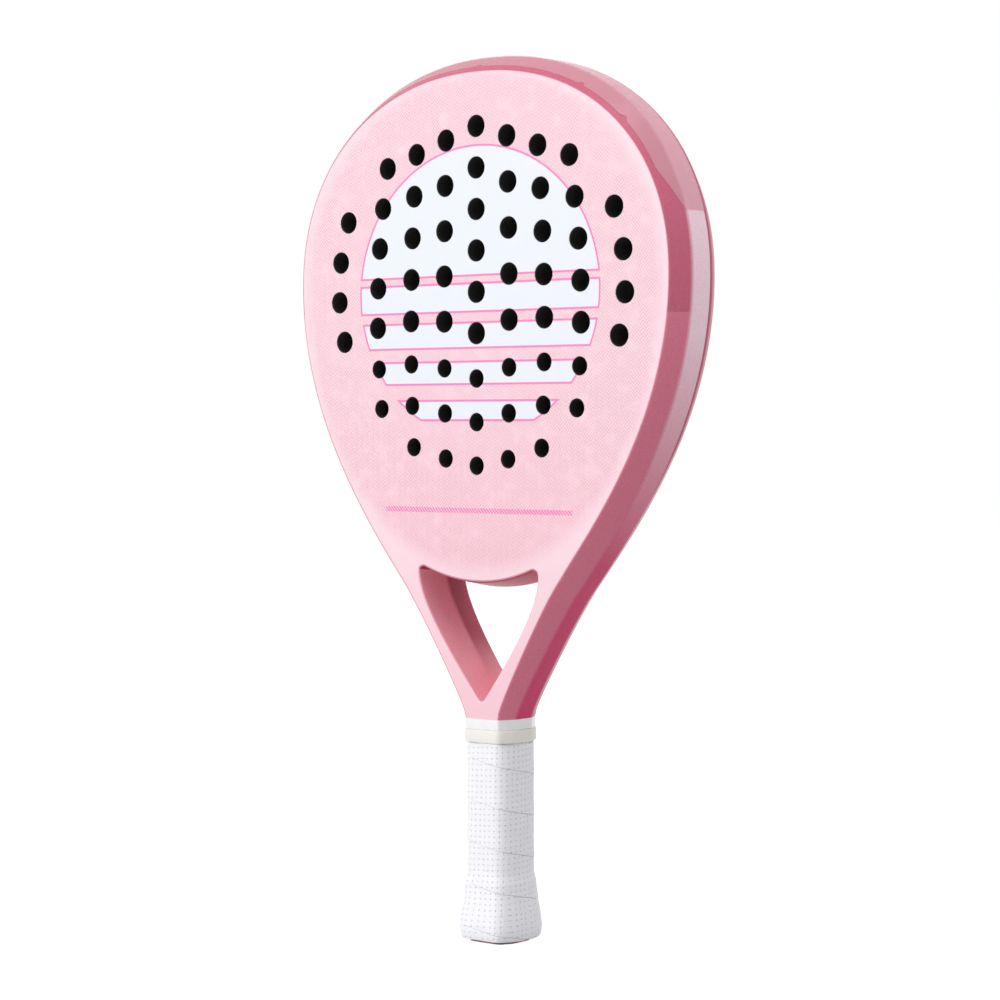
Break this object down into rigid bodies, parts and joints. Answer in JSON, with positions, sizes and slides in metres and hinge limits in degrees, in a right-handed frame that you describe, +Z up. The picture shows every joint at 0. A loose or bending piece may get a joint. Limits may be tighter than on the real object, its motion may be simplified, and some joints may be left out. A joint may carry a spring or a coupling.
{
  "type": "padel racket",
  "caption": "Round-headed padel racket with a perforated foam core between composite faces, an open throat and an octagonal handle with a wound grip.",
  "frame": {"origin": "middle of the butt's flat end, at the bottom of the racket's box", "axes": "+Z up the handle to the top of the head, +X across the head to the right as seen from the front, -Y out of the front face"},
  "size_m": [0.256, 0.0384, 0.4558],
  "materials": {
    "frame_paint": "glossy dusty-rose lacquer over carbon and glass fibre composite",
    "face_print": "satin light pink lacquer with an embossed basket texture and a printed panel",
    "eva_foam": "matt black closed-cell foam",
    "rigid_foam": "matt pale yellow expanded foam",
    "sleeve_paint": "glossy white lacquer",
    "cap_plastic": "satin moulded dark red plastic",
    "tack_steel": "bright plated steel",
    "grip_leatherette": "white dimpled synthetic leather",
    "adhesive_tape": "plain white adhesive tape",
    "collar_rubber": "smooth ivory rubber",
    "clear_film": "clear glossy polyurethane film"
  },
  "bodies": {
    "root": {"frame_tube": "frame_paint", "bridge_shell": "frame_paint", "handle_spine": "frame_paint", "front_face_skin": "face_print", "rear_face_skin": "face_print", "eva_core": "eva_foam", "bridge_foam": "rigid_foam", "handle_foam_left": "rigid_foam", "handle_foam_right": "rigid_foam", "handle_sleeve": "sleeve_paint", "butt_cap": "cap_plastic", "butt_cap_tack_left": "tack_steel", "butt_cap_tack_right": "tack_steel", "grip_tape": "grip_leatherette", "finishing_tape": "adhesive_tape", "grip_collar": "collar_rubber", "head_protector": "clear_film"}
  },
  "joints": []
}
